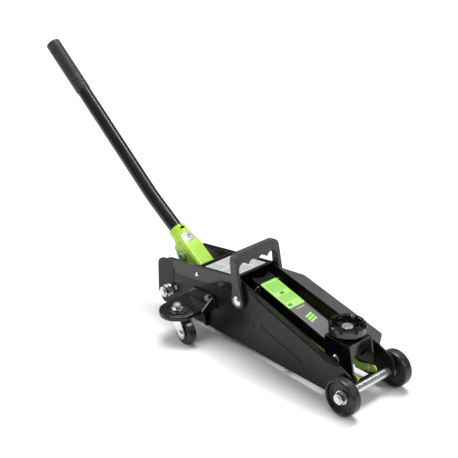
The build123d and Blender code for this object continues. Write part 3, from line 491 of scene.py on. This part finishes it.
# ---------------------------------------------------------------- labels
def arm_label():
    """Green panel with ruled lines and pictogram blocks, then a dark panel with plain stripes."""
    s = Shader("arm_print")
    u, v = label_axes(s)
    green = s.ramp(u, 1.0, 0.0, (GREEN_SHARE - 0.002, GREEN_SHARE + 0.002))
    lines = both(s, rows(s, u, 46, 0.46), s.ramp(s.noise(520.0, 2.0), 0.45, 1.0, (0.36, 0.46)))
    ruled = both(s, band(s, v, 0.10, 0.92),
                 either(s, band(s, u, 0.035, 0.19), band(s, u, 0.26, 0.37)))
    block = either(s, both(s, band(s, u, 0.205, 0.245), band(s, v, 0.38, 0.62)),
                   both(s, band(s, u, 0.40, 0.44), band(s, v, 0.12, 0.34)))
    dark = either(s, s.math("MULTIPLY", both(s, lines, ruled), 0.78),
                  s.math("MULTIPLY", block, 0.9))
    shade = s.mix(both(s, dark, green), LABEL_GREEN, (0.03, 0.12, 0.02))
    slant = s.math("ADD", u, s.math("MULTIPLY", v, 0.06))
    stripes = either(s, both(s, band(s, slant, 0.66, 0.685), band(s, v, 0.28, 0.72)),
                     both(s, band(s, slant, 0.70, 0.725), band(s, v, 0.28, 0.72)),
                     both(s, band(s, slant, 0.74, 0.765), band(s, v, 0.28, 0.72)),
                     both(s, band(s, u, 0.50, 0.508), band(s, v, 0.30, 0.80)))
    lower = s.mix(stripes, LABEL_GREY, (0.30, 0.74, 0.10))
    print_finish(s, s.mix(green, lower, shade), (0.30, 0.42))
    label("arm_label", "lift_arm", "lift_arm", ARM_LABEL_AT,
          (cos(ARM_SLOPE), 0, -sin(ARM_SLOPE)), (0, 1, 0), ARM_LABEL_SIZE, (60, 14), 2.5 * MM, s.mat)


def cover_label():
    """Pale instruction film: ruled lines in boxes and a dark border."""
    s = Shader("cover_print")
    u, v = label_axes(s)
    border = s.math("SUBTRACT", 1.0, both(s, band(s, u, 0.03, 0.97), band(s, v, 0.015, 0.985)))
    boxes = either(s, both(s, band(s, u, 0.08, 0.46), band(s, v, 0.04, 0.30)),
                   both(s, band(s, u, 0.08, 0.46), band(s, v, 0.36, 0.96)),
                   both(s, band(s, u, 0.54, 0.92), band(s, v, 0.04, 0.62)),
                   both(s, band(s, u, 0.54, 0.92), band(s, v, 0.70, 0.96)))
    words = s.ramp(s.noise(700.0, 2.0), 0.0, 1.0, (0.42, 0.5))
    ruled = both(s, boxes, both(s, rows(s, u, 26, 0.45), words))
    shade = s.mix(s.math("MULTIPLY", ruled, 0.8), (0.50, 0.51, 0.52), PRINT_INK)
    shade = s.mix(border, shade, (0.03, 0.03, 0.032))
    print_finish(s, shade, (0.26, 0.36))
    label("cover_label", "rear_cover", "frame", COVER_LABEL_AT,
          (cos(COVER_SLOPE), 0, sin(COVER_SLOPE)), (0, 1, 0), COVER_LABEL_SIZE, (24, 16), 1.5 * MM,
          s.mat)


def socket_label():
    """Silver band over the socket's neck with plain dark bars."""
    s = Shader("socket_print")
    u, v = label_axes(s)
    bars = either(s, both(s, band(s, u, 0.25, 0.42), band(s, v, 0.30, 0.70)),
                  both(s, band(s, u, 0.56, 0.74), band(s, v, 0.30, 0.58)))
    print_finish(s, s.mix(s.math("MULTIPLY", bars, 0.85), (0.62, 0.62, 0.63), (0.03, 0.03, 0.03)),
                 (0.22, 0.32))
    s.set(Metallic=0.4)
    down = Vector((cos(SOCKET_ANGLE), 0, -sin(SOCKET_ANGLE)))
    at = Vector(SOCKET_COLLAR) + down * SOCKET_LABEL_DOWN + Vector((0, SOCKET_LABEL_ASIDE, 0))
    label("socket_label", "handle_socket", "handle_socket", at, down, (0, 1, 0),
          SOCKET_LABEL_SIZE, (10, 24), 1.0 * MM, s.mat)


arm_label()
cover_label()
socket_label()


# ---------------------------------------------------------------- studio
def shine(name, data, place, toward):
    """Puts a light in the scene, shining along a direction."""
    lamp = bpy.data.objects.new(name, data)
    lamp.location = place
    lamp.rotation_euler = toward.to_track_quat("-Z", "Y").to_euler()
    bpy.context.scene.collection.objects.link(lamp)


def floor_plane():
    """Pale floor that reaches past the view on every side."""
    mesh = bpy.data.meshes.new("floor")
    far = FLOOR_REACH
    mesh.from_pydata([(-far, -far, 0), (far, -far, 0), (far, far, 0), (-far, far, 0)],
                     [], [(0, 1, 2, 3)])
    floor = bpy.data.objects.new("studio_floor", mesh)
    bpy.context.scene.collection.objects.link(floor)
    s = Shader("studio_white")
    s.set(Base_Color=s.mix(s.ramp(s.noise(3.0), 0.0, 1.0), (0.86, 0.86, 0.86), (0.88, 0.88, 0.88)),
          Roughness=0.6)
    mesh.materials.append(s.mat)


def lights():
    """A broad sun as the ceiling and three soft boxes for highlights."""
    sun = bpy.data.lights.new("ceiling", "SUN")
    sun.energy, sun.angle = SUN_POWER, SUN_SPREAD
    shine("ceiling", sun, (0.0, 0.0, 0.0), Vector(SUN_SHINES))
    for name, place, aim, size, power in LAMPS:
        data = bpy.data.lights.new(name, "AREA")
        data.shape, data.size, data.size_y = "RECTANGLE", size[0], size[1]
        data.energy = power
        shine(name, data, place, Vector(aim) - Vector(place))


def sky():
    """Even fill light that glossy surfaces mirror more darkly."""
    world = bpy.data.worlds.new("studio_sky")
    world.use_nodes = True
    nodes, links = world.node_tree.nodes, world.node_tree.links
    backdrop = nodes["Background"]
    backdrop.inputs["Color"].default_value = (1.0, 1.0, 1.0, 1.0)
    rays = nodes.new("ShaderNodeLightPath")
    level = nodes.new("ShaderNodeMapRange")
    level.inputs["To Min"].default_value = SKY
    level.inputs["To Max"].default_value = SKY_MIRRORED
    links.new(rays.outputs["Is Glossy Ray"], level.inputs["Value"])
    links.new(level.outputs[0], backdrop.inputs["Strength"])
    bpy.context.scene.world = world


def camera():
    """Camera at the object's usual three-quarter view."""
    data = bpy.data.cameras.new("camera")
    data.lens, data.sensor_width = CAMERA_LENS, 36.0
    data.clip_start, data.clip_end = 0.05, 50.0
    seen = bpy.data.objects.new("camera", data)
    seen.location = CAMERA_AT
    seen.rotation_euler = Vector(CAMERA_LOOKS).to_track_quat("-Z", "Y").to_euler()
    bpy.context.scene.collection.objects.link(seen)
    bpy.context.scene.camera = seen
    bpy.context.scene.view_settings.view_transform = "Standard"


floor_plane()
lights()
sky()
camera()
